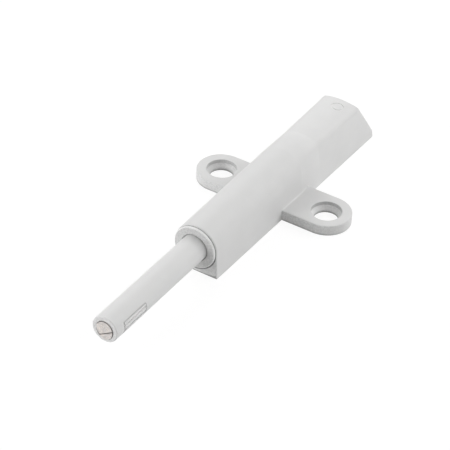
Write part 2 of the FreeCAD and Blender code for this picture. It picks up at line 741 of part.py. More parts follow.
# Plunger
def build_plunger():
    """Turn the plunger and cut its pocket, its windows and the heart-shaped cam."""
    body = new_body("plunger", up="axis_height")
    sketch = new_sketch(body, "plunger_section", "top")
    outline(
        sketch,
        [
            ("pocket_r", "tip_y"),
            ("plunger_r - tip_round", "tip_y"),
            ("plunger_r", "tip_y + tip_round"),
            ("plunger_r", "tail_y"),
            ("tail_r", "tail_y"),
            ("tail_r", "tail_end_y"),
            ("rod_bore_r", "tail_end_y"),
            ("rod_bore_r", "rod_bore_y"),
            ("0", "rod_bore_y"),
            ("0", "pocket_end_y"),
            ("pocket_r", "pocket_end_y"),
        ],
        {1: "tip_round"},
    )
    turn(body, "Revolution", "turned", sketch)

    key = new_sketch(body, "key_section", "front", lift="-tail_y")
    box_outline(key, "-key_width / 2", "key_width / 2", "-key_r", "-(rod_bore_r + key_height)")
    extrude(body, "Pad", "key", key, "tail_length", reverse=True)

    seat = new_sketch(body, "plate_seat_section", "front", lift="-tip_y")
    circle(seat, "pocket_r", "0", "-plate_drop")
    extrude(body, "Pocket", "plate_seat", seat, "clip_y - tip_y")

    window = new_sketch(body, "window_plan", "side")
    box_outline(window, "window_y", "window_y + window_length", "-window_width / 2", "window_width / 2")
    extrude(body, "Pocket", "windows", window, "3 * plunger_r", both=True)

    flat = new_sketch(body, "cam_flat_plan", "top", lift="cam_top")
    far = "(tail_end_y - cam_length - arm_overrun)"
    box_outline(flat, "-2 * tail_r", "2 * tail_r", far, f"tail_end_y + {PAST}")
    extrude(body, "Pocket", "cam_flat", flat, "tail_r", reverse=True)

    track = new_sketch(body, "cam_track_plan", "top", lift="cam_floor")
    outline(
        track,
        [
            ("-cam_half", "tail_end_y - cam_length"),
            ("cam_half", "tail_end_y - cam_length"),
            ("cam_half", f"tail_end_y + {PAST}"),
            ("-cam_half", f"tail_end_y + {PAST}"),
        ],
    )
    extrude(body, "Pocket", "cam_track", track, "tail_r", reverse=True)

    island = new_sketch(body, "cam_island_plan", "top", lift="cam_floor")
    point = "(tail_end_y - cam_mouth)"
    horn = f"({point} - cam_island_length)"
    outline(
        island,
        [
            ("-cam_island / 4", horn),
            ("0", f"{horn} + cam_notch"),
            ("cam_island / 4", horn),
            ("cam_island / 2", f"{horn} + cam_island / 4"),
            ("cam_island / 2", f"{point} - cam_island"),
            ("0", point),
            ("-cam_island / 2", f"{point} - cam_island"),
            ("-cam_island / 2", f"{horn} + cam_island / 4"),
        ],
    )
    extrude(body, "Pad", "cam_island", island, "cam_top - cam_floor")
    return body


def build_segment(name, corners, arcs, up):
    """Pad one segment of the round metal insert, turned to its place about its centre."""
    body = new_body(name, up=up)
    sketch = new_sketch(body, name + "_section", "front", lift="-magnet_y")
    outline(sketch, corners, arcs)
    extrude(body, "Pad", "slug", sketch, "clip_y - seat_gap - magnet_y", reverse=True)
    body.Placement.Rotation = FreeCAD.Rotation(FreeCAD.Vector(0, 1, 0), value("split_angle"))
    bind(body, "Placement.Rotation.Angle", "split_angle")
    return body


def build_magnet():
    """Make the larger segment, the magnet."""
    half = "sqrt(magnet_r^2 - split_offset^2)"
    corners = [
        ("split_offset", "-" + half),
        ("split_offset", half),
        ("-magnet_r", "0"),
    ]
    return build_segment("magnet", corners, {1: "magnet_r", 2: "magnet_r"}, "axis_height")


def build_pole_plate():
    """Make the smaller segment, the steel plate that carries the field to the front."""
    flat = "(split_offset + split_gap - plate_drop * sin(split_angle))"
    half = f"sqrt(magnet_r^2 - {flat}^2)"
    corners = [(flat, "-" + half), (flat, half)]
    return build_segment("pole_plate", corners, {0: "magnet_r"}, "axis_height - plate_drop")


def build_clip():
    """Make the clip behind the magnet: a disc with two snap tongues in the windows."""
    width = "(window_width - 2 * tongue_gap)"
    length = "(clip_end_y - tongue_y)"
    low = ["-plunger_r", "tongue_y", f"axis_height - {width} / 2"]
    bar = block("tongue_bar", low, ["2 * plunger_r", length, width])
    outer = cylinder("tongue_outer", "tongue_r", "tongue_y", length)
    inner = cylinder("tongue_inner", "tongue_inner_r", "tongue_y", "clip_y - tongue_y")
    ring = combine("Cut", "tongue_ring", outer, inner)
    tongues = combine("Common", "tongues", ring, bar)
    disc = cylinder("clip_disc_shape", "magnet_r", "clip_y", "clip_disc")
    clip = combine("Fuse", "tongues_and_disc", tongues, disc)
    middle = "(tongue_rib + tongue_groove) / 2"
    core_r = "tongue_r - tongue_groove_depth"
    start = f"(tongue_y - {PAST})"
    run = f"({length} + 2 * {PAST})"
    for name, height in (("upper_groove", middle), ("lower_groove", "-" + middle)):
        low = ["-plunger_r", start, f"axis_height + {height} - tongue_groove / 2"]
        bar = block(name + "_bar", low, ["2 * plunger_r", run, "tongue_groove"])
        core = cylinder(name + "_core", core_r, start, run)
        clip = combine("Cut", "clip_with_" + name, clip, combine("Cut", name, bar, core))
    clip.Label = "magnet_clip"
    return clip


def problems(node):
    """List what is wrong with a finished piece, if anything."""
    shape = node.Shape
    found = []
    if shape.isNull() or not shape.isValid():
        found.append("shape is not valid")
    elif len(shape.Solids) != 1:
        found.append(f"{len(shape.Solids)} solids")
    return [f"{node.Label}: {text}" for text in found]


def main():
    """Build every piece, check it and write it."""
    fill_sheet()
    nodes = [
        build_housing(),
        build_tube(),
        build_end_plug(),
        build_guide_rod(),
        build_spring(),
        build_buffer(),
        build_pin(),
        build_hook(),
        build_plunger(),
        build_magnet(),
        build_pole_plate(),
        build_clip(),
    ]
    doc.recompute()
    failed = [item for item in doc.Objects if {"Invalid", "Error"} & set(item.State)]
    faults = [f"{item.Name}: {item.State}" for item in failed]
    for node in nodes:
        faults += problems(node)
    if faults:
        raise RuntimeError("; ".join(faults))
    os.makedirs("parts", exist_ok=True)
    for node in nodes:
        node.Shape.exportStep(f"parts/{node.Label}.step")
        box = node.Shape.BoundBox
        print(f"{node.Label}: {node.Shape.Volume:.2f} mm3, Y {box.YMin:.2f} to {box.YMax:.2f}")


main()
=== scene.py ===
"""Dress and light a magnetic push latch for a cabinet door.

The latch is a light grey moulded housing with two screw ears.  A round plunger stands out of
its mouth, with a snap window on each side and a metal insert in its tip.  Each sub-assembly is
a class with its sizes as fields, and each finish is a frozen dataclass that makes one
procedural material.  A tone is painted light or shade: a part of a surface painted a little
lighter or darker than the rest where light or shade falls, such as the shade in a gap between
parts, the highlight on a rim or a shaded edge.  Lengths are in metres, and the plunger comes out
towards -Y.
"""

from __future__ import annotations

import logging
import math
from dataclasses import dataclass, replace
from enum import Enum
from functools import cached_property

import bmesh
import bpy
from mathutils import Matrix, Vector

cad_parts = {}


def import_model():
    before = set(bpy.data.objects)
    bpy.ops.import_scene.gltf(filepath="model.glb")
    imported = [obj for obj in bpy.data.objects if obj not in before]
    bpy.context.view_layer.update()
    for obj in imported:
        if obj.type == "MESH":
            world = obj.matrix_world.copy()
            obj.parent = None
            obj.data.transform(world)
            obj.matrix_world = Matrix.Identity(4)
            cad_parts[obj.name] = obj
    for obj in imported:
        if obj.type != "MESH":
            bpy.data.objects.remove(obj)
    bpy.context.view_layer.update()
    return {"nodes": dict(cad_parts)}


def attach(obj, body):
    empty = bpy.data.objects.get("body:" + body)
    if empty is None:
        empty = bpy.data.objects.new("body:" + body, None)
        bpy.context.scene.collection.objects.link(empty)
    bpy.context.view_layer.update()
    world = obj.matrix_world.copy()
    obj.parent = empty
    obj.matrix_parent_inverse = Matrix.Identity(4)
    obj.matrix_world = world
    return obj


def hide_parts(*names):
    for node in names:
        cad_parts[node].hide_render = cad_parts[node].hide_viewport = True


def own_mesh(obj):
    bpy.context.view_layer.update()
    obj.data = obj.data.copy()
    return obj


LOG = logging.getLogger("push_latch")

Colour = tuple[float, float, float, float]
Place = tuple[float, float, float]
Span = tuple[float, float]

MM = 0.001
AXIS_HEIGHT = 7.7 * MM
ORIGIN: Place = (0.0, 0.0, 0.0)
ON_AXIS: Place = (0.0, 0.0, AXIS_HEIGHT)

# A noise keeps to the middle of its range, so this stretch of it is spread over a whole span.
NOISE_MIDDLE: Span = (0.3, 0.7)

# The colour sockets of a Mix node share their names with its other sockets, so they go by number.
MIX_FIRST, MIX_SECOND, MIX_RESULT = 6, 7, 2


class Axis(Enum):
    """Ways in which the axis of a toned ring runs, by their letter."""

    PLUNGER = "Y"
    UPRIGHT = "Z"

    def across(self) -> Place:
        """Give 1 for each way that is square to the axis, and 0 for its own."""
        return tuple(float(letter != self.value) for letter in "XYZ")


class Grain(Enum):
    """Ways in which a metal's marks run, each with the stretch of its lines and its streaks."""

    EVEN = ((1.0, 1.0, 1.0), (1.0, 1.0, 1.0))
    ALONG_AXIS = ((1.0, 0.02, 1.0), (1.0, 1.0, 1.0))
    FACE = ((0.03, 1.0, 1.0), (0.2, 1.0, 1.0))


class Sum(Enum):
    """Sums on one or two numbers."""

    PLUS = "ADD"
    TIMES = "MULTIPLY"
    LARGER = "MAXIMUM"
    WITHOUT_SIGN = "ABSOLUTE"
    ANGLE = "ARCTAN2"
    BELOW = "LESS_THAN"


class PlaceSum(Enum):
    """Sums on one or two places."""

    FROM = "SUBTRACT"
    TIMES = "MULTIPLY"
    ALONG = "DOT_PRODUCT"
    LENGTH = "LENGTH"


def grey(level: float, warmth: float = 0.0) -> Colour:
    """Make an opaque grey; warmth lifts red and lowers blue."""
    return (level + warmth, level, level - warmth, 1.0)


def lightened(colour: Colour, gain: float) -> Colour:
    """Make a colour lighter or darker by a gain, and keep it opaque."""
    return tuple(part * gain for part in colour[:3]) + (1.0,)


class Recipe:
    """The node tree of a material or world, with short calls for the nodes that they share."""

    def __init__(
        self,
        holder: bpy.types.Material | bpy.types.World,
        end: str = "ShaderNodeOutputMaterial",
        shader: str = "ShaderNodeBsdfPrincipled",
    ) -> None:
        """Empty the holder's tree and give it one shader.

        Args:
            holder: The material or world to fill.
            end: The kind of its last node.
            shader: The kind of its shader.
        """
        holder.use_nodes = True
        self.tree = holder.node_tree
        self.tree.nodes.clear()
        self.surface = self.add(end).inputs["Surface"]
        self.shader = self.add(shader)
        self.feed(self.surface, self.shader.outputs[0])

    @cached_property
    def where(self) -> bpy.types.NodeSocket:
        """The object's own coordinates, which are the frame's at rest."""
        return self.add("ShaderNodeTexCoord").outputs["Object"]

    def add(self, kind: str) -> bpy.types.Node:
        """Add a node of that kind."""
        return self.tree.nodes.new(kind)

    def feed(
        self,
        target: bpy.types.NodeSocket,
        value: bpy.types.NodeSocket | float | Place | Colour,
    ) -> None:
        """Give a socket what it reads.

        Args:
            target: The socket that reads.
            value: Another socket's result to link to it, or a plain value to set it to.
        """
        if isinstance(value, bpy.types.NodeSocket):
            self.tree.links.new(value, target)
        else:
            target.default_value = value

    def mix(
        self,
        share: bpy.types.NodeSocket,
        first: bpy.types.NodeSocket,
        second: bpy.types.NodeSocket,
    ) -> bpy.types.NodeSocket:
        """Mix two shaders.

        Args:
            share: The share of the second shader, from 0 to 1.
            first: The shader at 0.
            second: The shader at 1.

        Returns:
            The mixed shader.
        """
        both = self.add("ShaderNodeMixShader")
        for number, value in enumerate((share, first, second)):
            self.feed(both.inputs[number], value)
        return both.outputs["Shader"]

    def stretched(self, stretch: Place, turn: float = 0.0) -> bpy.types.NodeSocket:
        """Turn the object's coordinates round the plunger's axis and stretch them.

        Args:
            stretch: The factor along each axis.
            turn: The turn in degrees.

        Returns:
            The new coordinates.
        """
        mapping = self.add("ShaderNodeMapping")
        mapping.vector_type = "TEXTURE"
        self.feed(mapping.inputs["Rotation"], (0.0, math.radians(turn), 0.0))
        self.feed(mapping.inputs["Scale"], tuple(1.0 / factor for factor in stretch))
        self.feed(mapping.inputs["Vector"], self.where)
        return mapping.outputs["Vector"]

    def noise(self, at: bpy.types.NodeSocket, size: float, detail: float) -> bpy.types.NodeSocket:
        """Make a noise whose spots are about as large as size.

        Args:
            at: The coordinates to read.
            size: The size of a spot.
            detail: How many finer layers lie in it.

        Returns:
            The noise, from 0 to 1.
        """
        cloud = self.add("ShaderNodeTexNoise")
        self.feed(cloud.inputs["Scale"], 1.0 / size)
        self.feed(cloud.inputs["Detail"], detail)
        self.feed(cloud.inputs["Vector"], at)
        return cloud.outputs["Fac"]

    def cells(self, at: bpy.types.NodeSocket, size: float) -> bpy.types.NodeSocket:
        """Make small rounded cells, as spark-eroded tool steel leaves them.

        Args:
            at: The coordinates to read.
            size: The size of a cell.

        Returns:
            How high each place lies, from 0 in the middle of a cell.
        """
        pits = self.add("ShaderNodeTexVoronoi")
        pits.feature = "SMOOTH_F1"
        self.feed(pits.inputs["Scale"], 1.0 / size)
        self.feed(pits.inputs["Vector"], at)
        return pits.outputs["Distance"]

    def ramp(
        self, value: bpy.types.NodeSocket, source: Span, result: Span, shape: str = "LINEAR"
    ) -> bpy.types.NodeSocket:
        """Map one span of a value onto another, and hold it level past both ends.

        Args:
            value: The value to map.
            source: The two ends of its own span.
            result: What those two ends become.
            shape: The kind of slope between them.

        Returns:
            The mapped value.
        """
        node = self.add("ShaderNodeMapRange")
        node.interpolation_type = shape
        names = ("From Min", "From Max", "To Min", "To Max")
        for name, number in zip(names, (*source, *result)):
            self.feed(node.inputs[name], number)
        self.feed(node.inputs["Value"], value)
        return node.outputs["Result"]

    def spread(self, noise: bpy.types.NodeSocket, result: Span) -> bpy.types.NodeSocket:
        """Spread the middle of a noise over a span."""
        return self.ramp(noise, NOISE_MIDDLE, result)

    def within(self, value: bpy.types.NodeSocket, span: Span, fade: float) -> bpy.types.NodeSocket:
        """Give 1 where a value lies in a span and 0 outside it, with soft ends.

        Args:
            value: The value to test.
            span: The least and the greatest value.
            fade: How wide each end fades.

        Returns:
            The share.
        """
        rise, fall = (
            self.ramp(value, (edge - fade / 2, edge + fade / 2), ends, "SMOOTHSTEP")
            for edge, ends in zip(span, ((0.0, 1.0), (1.0, 0.0)))
        )
        return self.work(Sum.TIMES, rise, fall)

    def tint(
        self,
        share: bpy.types.NodeSocket,
        first: bpy.types.NodeSocket | Colour,
        second: Colour,
    ) -> bpy.types.NodeSocket:
        """Blend two colours.

        Args:
            share: The share of the second colour, from 0 to 1.
            first: The colour at 0.
            second: The colour at 1.

        Returns:
            The blended colour.
        """
        blend = self.add("ShaderNodeMix")
        blend.data_type = "RGBA"
        self.feed(blend.inputs["Factor"], share)
        self.feed(blend.inputs[MIX_FIRST], first)
        self.feed(blend.inputs[MIX_SECOND], second)
        return blend.outputs[MIX_RESULT]

    def scaled(
        self, colour: bpy.types.NodeSocket, gain: bpy.types.NodeSocket
    ) -> bpy.types.NodeSocket:
        """Make a colour lighter or darker.

        Args:
            colour: The colour.
            gain: What it is multiplied by.

        Returns:
            The new colour.
        """
        node = self.add("ShaderNodeVectorMath")
        node.operation = "SCALE"
        self.feed(node.inputs[0], colour)
        self.feed(node.inputs["Scale"], gain)
        return node.outputs["Vector"]

    def work(
        self,
        kind: Sum,
        first: bpy.types.NodeSocket | float,
        second: bpy.types.NodeSocket | float = 0.0,
    ) -> bpy.types.NodeSocket:
        """Do one sum on numbers.

        Args:
            kind: The sum.
            first: The first number.
            second: The second number, where the sum has one.

        Returns:
            The result.
        """
        node = self.add("ShaderNodeMath")
        node.operation = kind.value
        self.feed(node.inputs[0], first)
        self.feed(node.inputs[1], second)
        return node.outputs["Value"]

    def work_places(
        self, kind: PlaceSum, first: bpy.types.NodeSocket, second: Place = ORIGIN
    ) -> bpy.types.NodeSocket:
        """Do one sum on places.

        Args:
            kind: The sum.
            first: The first place.
            second: The second place, where the sum has one.

        Returns:
            The result, which is one number for a length or a way along.
        """
        node = self.add("ShaderNodeVectorMath")
        node.operation = kind.value
        self.feed(node.inputs[0], first)
        self.feed(node.inputs[1], second)
        one_number = kind in (PlaceSum.ALONG, PlaceSum.LENGTH)
        return node.outputs["Value" if one_number else "Vector"]

    def parts(self, place: bpy.types.NodeSocket) -> bpy.types.NodeOutputs:
        """Split a place into its three numbers.

        Args:
            place: The place.

        Returns:
            The numbers, by their letters.
        """
        node = self.add("ShaderNodeSeparateXYZ")
        self.feed(node.inputs["Vector"], place)
        return node.outputs

    def facing_front(self) -> bpy.types.NodeSocket:
        """Find how far the surface faces the plunger's end of the latch.

        Returns:
            The share, from 0 to 1.
        """
        face = self.add("ShaderNodeNewGeometry")
        ahead = self.work(Sum.TIMES, self.parts(face.outputs["True Normal"])["Y"], -1.0)
        return self.work(Sum.LARGER, ahead, 0.0)

    def raise_by(
        self,
        height: bpy.types.NodeSocket,
        depth: float,
        under: bpy.types.NodeSocket | None = None,
    ) -> bpy.types.NodeSocket:
        """Turn a height into a bump.

        Args:
            height: The height, from 0 to 1.
            depth: The depth of its full range.
            under: A bump that lies under this one, if there is one.

        Returns:
            The bent normal.
        """
        bump = self.add("ShaderNodeBump")
        self.feed(bump.inputs["Distance"], depth)
        self.feed(bump.inputs["Height"], height)
        if under is not None:
            self.feed(bump.inputs["Normal"], under)
        return bump.outputs["Normal"]


@dataclass(frozen=True)
class ToneRing:
    """A ring of a surface painted lighter or darker than the rest, as painted light or shade.

    Attributes:
        axis: Which way the ring's axis runs.
        centre: A place on that axis.
        radius: The least and the greatest distance from the axis.
        along: The least and the greatest place along the axis.
        gain: What the colour is multiplied by.
        fade: How wide the ring's borders are.
    """

    axis: Axis
    centre: Place
    radius: Span
    along: Span
    gain: float
    fade: float = 0.15 * MM

    def share(self, recipe: Recipe) -> bpy.types.NodeSocket:
        """Find how much of the ring covers each place.

        Args:
            recipe: The material's nodes.

        Returns:
            The share, from 0 to 1.
        """
        away = recipe.work_places(PlaceSum.FROM, recipe.where, self.centre)
        out = recipe.work_places(PlaceSum.TIMES, away, self.axis.across())
        ring = recipe.within(recipe.work_places(PlaceSum.LENGTH, out), self.radius, self.fade)
        height = recipe.parts(recipe.where)[self.axis.value]
        return recipe.work(Sum.TIMES, ring, recipe.within(height, self.along, self.fade))


@dataclass(frozen=True)
class ToneLine:
    """A line along the plunger, on both its sides, painted lighter or darker as painted light or
    shade.

    Attributes:
        angle: Its height round the plunger, in degrees from the level.
        half_width: Half its width, in degrees.
        along: Its two ends along the plunger.
        gain: What the colour is multiplied by.
        fade: How long its ends fade.
    """

    angle: float
    half_width: float
    along: Span
    gain: float
    fade: float = 0.3 * MM

    def share(self, recipe: Recipe) -> bpy.types.NodeSocket:
        """Find how much of the line covers each place.

        Args:
            recipe: The material's nodes.

        Returns:
            The share, from 0 to 1.
        """
        away = recipe.parts(recipe.work_places(PlaceSum.FROM, recipe.where, ON_AXIS))
        level = recipe.work(Sum.WITHOUT_SIGN, away["X"])
        turn = recipe.work(Sum.ANGLE, away["Z"], level)
        low, high = (math.radians(self.angle + side * self.half_width) for side in (-1, 1))
        line = recipe.within(turn, (low, high), high - low)
        return recipe.work(Sum.TIMES, line, recipe.within(away["Y"], self.along, self.fade))


@dataclass(frozen=True)
class ToneBand:
    """A straight band of a surface painted lighter or darker than the rest, as painted light or
    shade.

    Attributes:
        across: The direction in which the band's place is measured, of length 1.
        span: The band's two borders, measured that way from the origin.
        gain: What the colour is multiplied by.
        fade: How wide its borders are.
        front_only: Whether only the faces at the front have it.
    """

    across: Place
    span: Span
    gain: float
    fade: float
    front_only: bool = False

    def share(self, recipe: Recipe) -> bpy.types.NodeSocket:
        """Find how much of the band covers each place.

        Args:
            recipe: The material's nodes.

        Returns:
            The share, from 0 to 1.
        """
        reach = recipe.work_places(PlaceSum.ALONG, recipe.where, self.across)
        band = recipe.within(reach, self.span, self.fade)
        return recipe.work(Sum.TIMES, band, recipe.facing_front()) if self.front_only else band


Tone = ToneRing | ToneLine | ToneBand


def toned(
    recipe: Recipe, gain: bpy.types.NodeSocket, tones: tuple[Tone, ...]
) -> bpy.types.NodeSocket:
    """Work the painted light and shade of a surface into its gain.

    Args:
        recipe: The material's nodes.
        gain: What the colour is multiplied by without them.
        tones: The painted light and shade.

    Returns:
        The gain with them.
    """
    for tone in tones:
        change = recipe.work(Sum.TIMES, tone.share(recipe), tone.gain - 1.0)
        gain = recipe.work(Sum.TIMES, gain, recipe.work(Sum.PLUS, change, 1.0))
    return gain


@dataclass(frozen=True)
class MouldedPlastic:
    """Moulded plastic with a fine eroded texture, faint mottling and slow waves.

    Attributes:
        name: The material's name.
        colour: The plastic's colour.
        tones: The painted light and shade on the surface.
        mottle: How much the colour varies, as a share.
        mottle_spot: The size of that variation's spots.
        speck: How much the colour of the front faces varies from grain to grain, as a share.
        speck_size: The size of those grains.
        roughness: How dull the surface is, from its smoothest to its dullest spots.
        dull_spot: The size of those spots.
        pit: The size of the fine texture's cells.
        pit_depth: The depth of the fine texture.
        front_grain: How many times stronger the texture gets on the faces at the front.
        wave: The size of the slow unevenness that moulding leaves.
        wave_depth: The depth of that unevenness.
        refraction: The plastic's index of refraction.
    """

    name: str
    colour: Colour
    tones: tuple[Tone, ...]
    mottle: float = 0.012
    mottle_spot: float = 4.0 * MM
    speck: float = 0.11
    speck_size: float = 0.4 * MM
    roughness: Span = (0.45, 0.56)
    dull_spot: float = 0.48 * MM
    pit: float = 0.16 * MM
    pit_depth: float = 0.0035 * MM
    front_grain: float = 3.0
    wave: float = 7.0 * MM
    wave_depth: float = 0.012 * MM
    refraction: float = 1.49

    def make(self) -> bpy.types.Material:
        """Make the material.

        Returns:
            The material.
        """
        material = bpy.data.materials.new(self.name)
        recipe = Recipe(material)
        inputs = recipe.shader.inputs
        front = recipe.facing_front()
        dull = recipe.noise(recipe.where, self.dull_spot, detail=3.0)
        recipe.feed(inputs["Base Color"], self.colouring(recipe, front))
        recipe.feed(inputs["Roughness"], recipe.spread(dull, self.roughness))
        recipe.feed(inputs["Normal"], self.relief(recipe, front))
        recipe.feed(inputs["IOR"], self.refraction)
        return material

    def colouring(self, recipe: Recipe, front: bpy.types.NodeSocket) -> bpy.types.NodeSocket:
        """Mottle the colour, speckle the front faces and add the painted light and shade.

        Args:
            recipe: The material's nodes.
            front: How far the surface faces the front.

        Returns:
            The colour.
        """
        cloud = recipe.spread(recipe.noise(recipe.where, self.mottle_spot, detail=5.0), (0.0, 1.0))
        dark, light = (lightened(self.colour, 1.0 + side * self.mottle) for side in (-1, 1))
        grains = recipe.noise(recipe.where, self.speck_size, detail=2.0)
        speck = recipe.work(Sum.TIMES, recipe.spread(grains, (-self.speck, self.speck)), front)
        gain = toned(recipe, recipe.work(Sum.PLUS, speck, 1.0), self.tones)
        return recipe.scaled(recipe.tint(cloud, dark, light), gain)

    def relief(self, recipe: Recipe, front: bpy.types.NodeSocket) -> bpy.types.NodeSocket:
        """Lay the fine texture over the slow waves.

        Args:
            recipe: The material's nodes.
            front: How far the surface faces the front.

        Returns:
            The bent normal.
        """
        slow = recipe.noise(recipe.where, self.wave, detail=1.0)
        waves = recipe.raise_by(slow, self.wave_depth)
        stronger = recipe.work(Sum.PLUS, recipe.work(Sum.TIMES, front, self.front_grain), 1.0)
        pits = recipe.work(Sum.TIMES, recipe.cells(recipe.where, self.pit), stronger)
        return recipe.raise_by(pits, self.pit_depth, under=waves)


@dataclass(frozen=True)
class PlatedMetal:
    """Plated or drawn metal with fine lines, faint clouding and small painted glints.

    Attributes:
        name: The material's name.
        colour: The metal's colour.
        grain: Which way its marks run.
        tones: The painted light and shade on the surface.
        line: The distance between its fine lines.
        line_depth: The depth of the lines.
        roughness: How dull the surface is, from its smoothest to its dullest lines.
        cloud: The size of its darker clouds.
        cloud_gain: What the colour is multiplied by in them.
        glint: The warm colour of its painted glints, which are small bright spots.
        glint_size: The size of those spots.
        glint_span: The stretch of their noise that shines.
        glint_fade: How softly that stretch starts.
        streak: The size of the lighter and darker streaks.
        streak_turn: The turn of the streaks on the face, in degrees.
        streak_gain: What the colour is multiplied by in them, from dark to light.
    """

    name: str
    colour: Colour
    grain: Grain = Grain.EVEN
    tones: tuple[Tone, ...] = ()
    line: float = 0.06 * MM
    line_depth: float = 0.002 * MM
    roughness: Span = (0.27, 0.42)
    cloud: float = 0.7 * MM
    cloud_gain: float = 0.86
    glint: Colour = (0.86, 0.77, 0.70, 1.0)
    glint_size: float = 0.3 * MM
    glint_span: Span = (0.6, 2.0)
    glint_fade: float = 0.12
    streak: float = 0.3 * MM
    streak_turn: float = -20.0
    streak_gain: Span = (0.84, 1.16)

    def make(self) -> bpy.types.Material:
        """Make the material.

        Returns:
            The material.
        """
        material = bpy.data.materials.new(self.name)
        recipe = Recipe(material)
        inputs = recipe.shader.inputs
        line_stretch, streak_stretch = self.grain.value
        lines = recipe.noise(recipe.stretched(line_stretch), self.line, detail=2.0)
        recipe.feed(inputs["Base Color"], self.colouring(recipe, streak_stretch))
        recipe.feed(inputs["Roughness"], recipe.spread(lines, self.roughness))
        recipe.feed(inputs["Normal"], recipe.raise_by(lines, self.line_depth))
        recipe.feed(inputs["Metallic"], 1.0)
        return material

    def colouring(self, recipe: Recipe, stretch: Place) -> bpy.types.NodeSocket:
        """Cloud the colour, and add the painted glints, the streaks and the painted light and
        shade.

        Args:
            recipe: The material's nodes.
            stretch: The stretch of the streaks.

        Returns:
            The colour.
        """
        cloud = recipe.spread(recipe.noise(recipe.where, self.cloud, detail=4.0), (0.0, 1.0))
        clouded = recipe.tint(cloud, lightened(self.colour, self.cloud_gain), self.colour)
        # Painted glints: small bright spots mixed into the colour.
        flecks = recipe.noise(recipe.where, self.glint_size, detail=2.0)
        bright = recipe.within(flecks, self.glint_span, self.glint_fade)
        run = recipe.stretched(stretch, self.streak_turn)
        shade = recipe.spread(recipe.noise(run, self.streak, detail=2.0), self.streak_gain)
        gain = toned(recipe, shade, self.tones)
        return recipe.scaled(recipe.tint(bright, clouded, self.glint), gain)


@dataclass(frozen=True)
class SoftRubber:
    """Soft elastomer with a faint bloom.

    Attributes:
        name: The material's name.
        colour: The rubber's colour.
        bloom: What the colour is multiplied by where the bloom is thickest.
        bloom_spot: The size of the bloom's spots.
        grit: The size of the surface's grains.
        grit_depth: The depth of the grains.
        roughness: How dull the surface is.
    """

    name: str
    colour: Colour
    bloom: float = 1.5
    bloom_spot: float = 0.5 * MM
    grit: float = 0.12 * MM
    grit_depth: float = 0.004 * MM
    roughness: float = 0.75

    def make(self) -> bpy.types.Material:
        """Make the material.

        Returns:
            The material.
        """
        material = bpy.data.materials.new(self.name)
        recipe = Recipe(material)
        inputs = recipe.shader.inputs
        share = recipe.spread(recipe.noise(recipe.where, self.bloom_spot, detail=4.0), (0.0, 1.0))
        grit = recipe.noise(recipe.where, self.grit, detail=3.0)
        bloomed = recipe.tint(share, self.colour, lightened(self.colour, self.bloom))
        recipe.feed(inputs["Base Color"], bloomed)
        recipe.feed(inputs["Normal"], recipe.raise_by(grit, self.grit_depth))
        recipe.feed(inputs["Roughness"], self.roughness)
        return material


def dress(node: bpy.types.Object, material: bpy.types.Material) -> None:
    """Put a material in every slot of a node.

    Args:
        node: The node or piece.
        material: Its finish.
    """
    if not node.data.materials:
        node.data.materials.append(material)
    for number in range(len(node.data.materials)):
        node.data.materials[number] = material
    LOG.info("dressed %s in %s", node.name, material.name)


